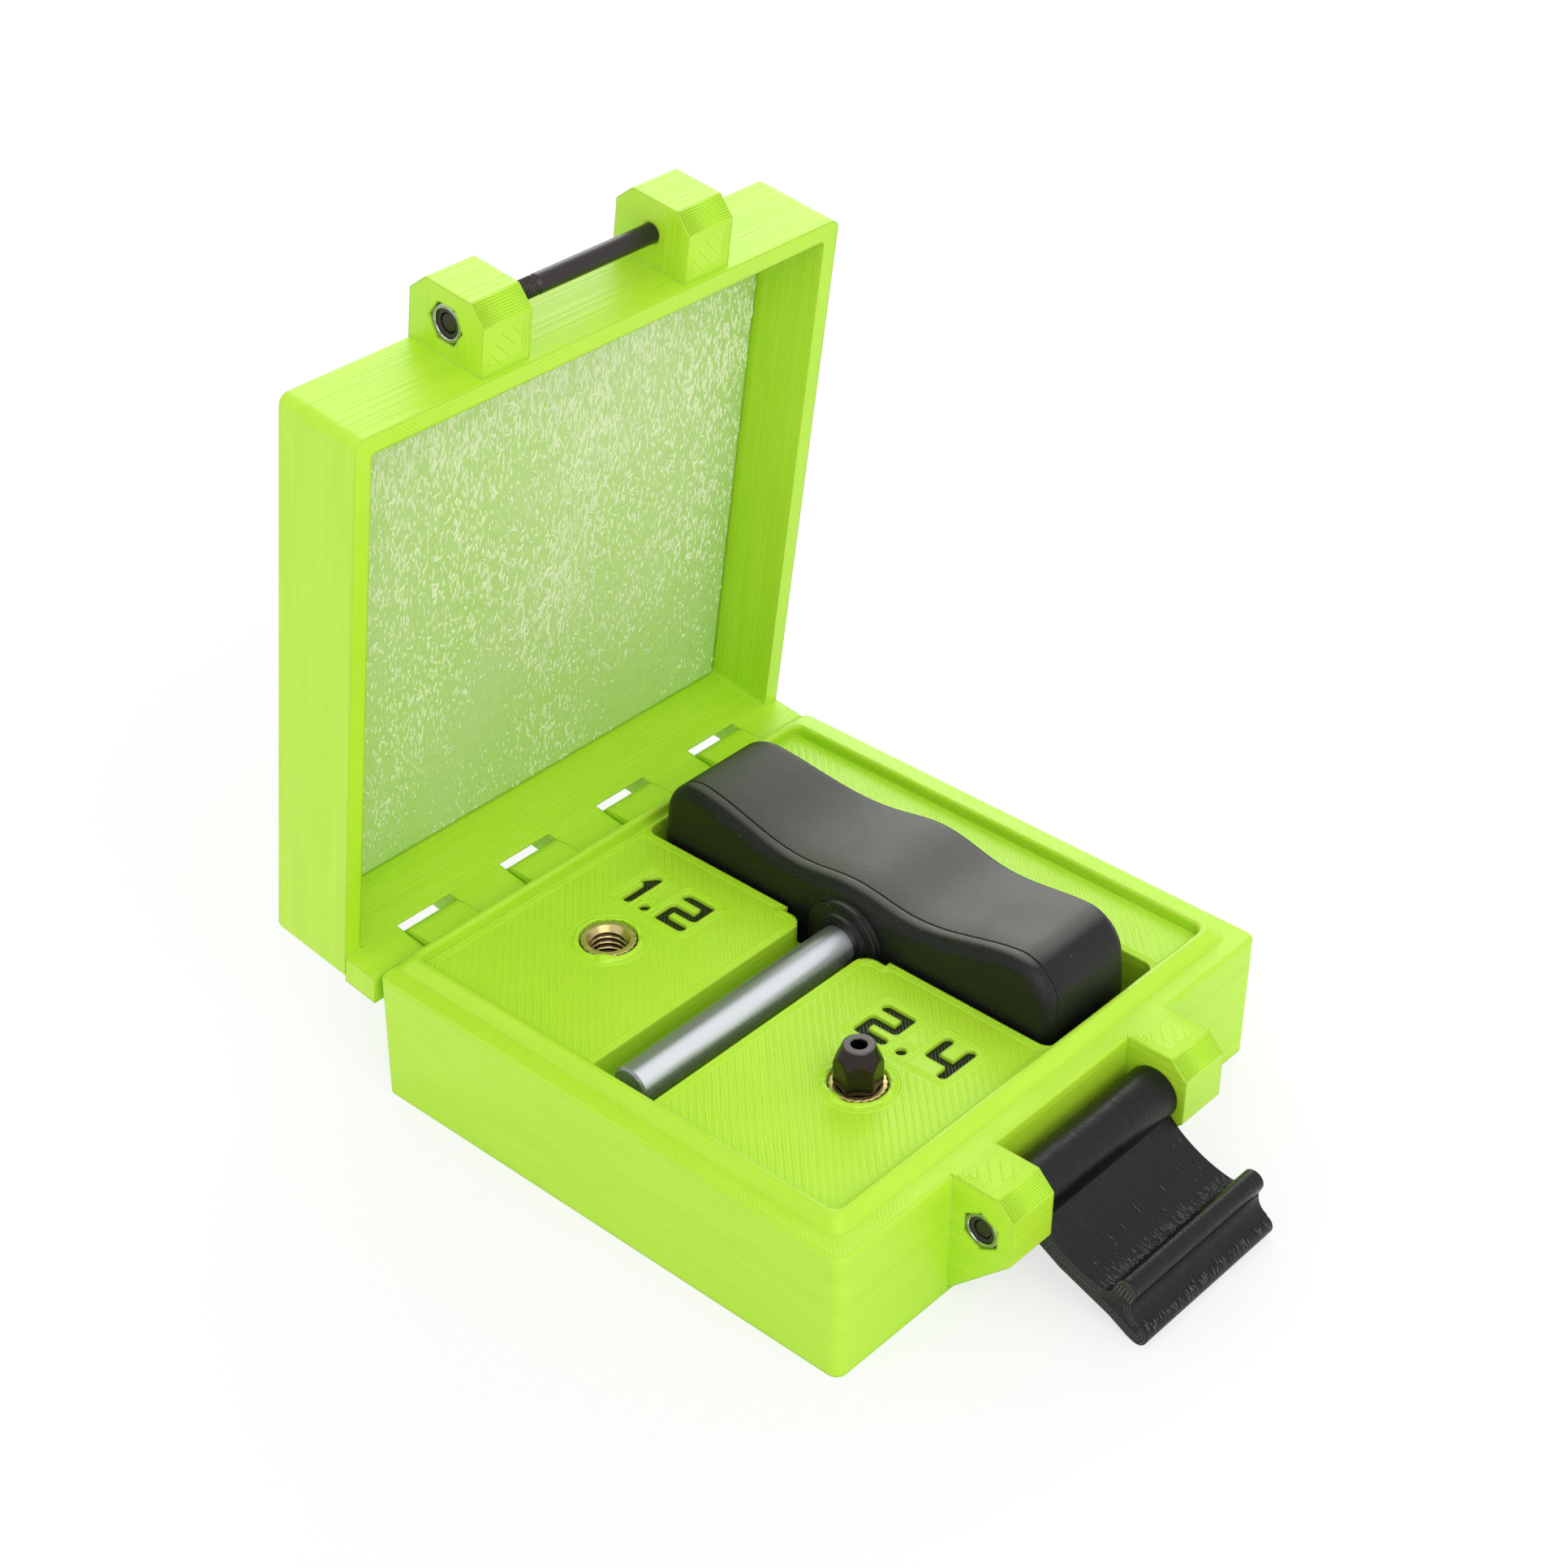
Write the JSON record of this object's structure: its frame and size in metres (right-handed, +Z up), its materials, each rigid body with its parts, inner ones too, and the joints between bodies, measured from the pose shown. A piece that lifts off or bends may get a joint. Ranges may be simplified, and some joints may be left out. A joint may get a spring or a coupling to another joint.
{
  "type": "hinged tool box with T-handle tool",
  "caption": "Printed square box with a foam-lined hinged lid and a hook latch, holding a T-handle tool and screw-in tips.",
  "frame": {"origin": "middle of the base's flat underside, halfway between its side walls and its front and back walls", "axes": "+Z up, +Y from the latch towards the hinge, +X from the shaft's end towards the grip"},
  "size_m": [0.094, 0.1379, 0.1217],
  "materials": {
    "green_print": "lime green printed plastic with fine layer lines",
    "black_print": "black printed plastic with fine layer lines",
    "black_mark": "black printed plastic, slightly glossy",
    "grip_plastic": "dark grey fine-grained plastic",
    "foam": "thin translucent white foam",
    "insert_brass": "machined brass",
    "shaft_steel": "satin turned steel",
    "pin_steel": "plain steel rod",
    "zinc": "bright zinc plate",
    "screw_black": "black oxide, slightly oily",
    "tip_black": "black oxide with worn edges",
    "nut_ring": "dark nylon"
  },
  "bodies": {
    "base": {"base_shell": "green_print", "mark_1_2": "black_mark", "mark_2_4": "black_mark", "insert_1_2": "insert_brass", "insert_2_4": "insert_brass", "latch_screw": "screw_black", "latch_nut": "zinc", "latch_nut_ring": "nut_ring"},
    "lid": {"lid_shell": "green_print", "foam_pad": "foam", "catch_screw": "screw_black", "catch_nut": "zinc", "catch_nut_ring": "nut_ring", "hinge_pin": "pin_steel"},
    "latch": {"latch": "black_print"},
    "tool": {"grip_front": "grip_plastic", "grip_rear": "grip_plastic", "shaft": "shaft_steel", "lock_pin": "pin_steel"},
    "tip": {"tip_2_4": "tip_black"}
  },
  "joints": [
    {"name": "lid_hinge", "type": "hinge", "parent": "base", "child": "lid", "pos_m": [0, 0.04815, 0.01775], "axis": [1, 0, 0], "range_deg": [-73, 82.4]},
    {"name": "latch_hinge", "type": "hinge", "parent": "base", "child": "latch", "pos_m": [0, -0.0494, 0.0142], "axis": [-1, 0, 0], "range_deg": [0, 111]},
    {"name": "tool_lift", "type": "slide", "parent": "base", "child": "tool", "axis": [0, 0, -1], "range_m": [-0.04, 0]},
    {"name": "tip_lift", "type": "slide", "parent": "base", "child": "tip", "axis": [0, 0, -1], "range_m": [-0.03, 0]}
  ]
}
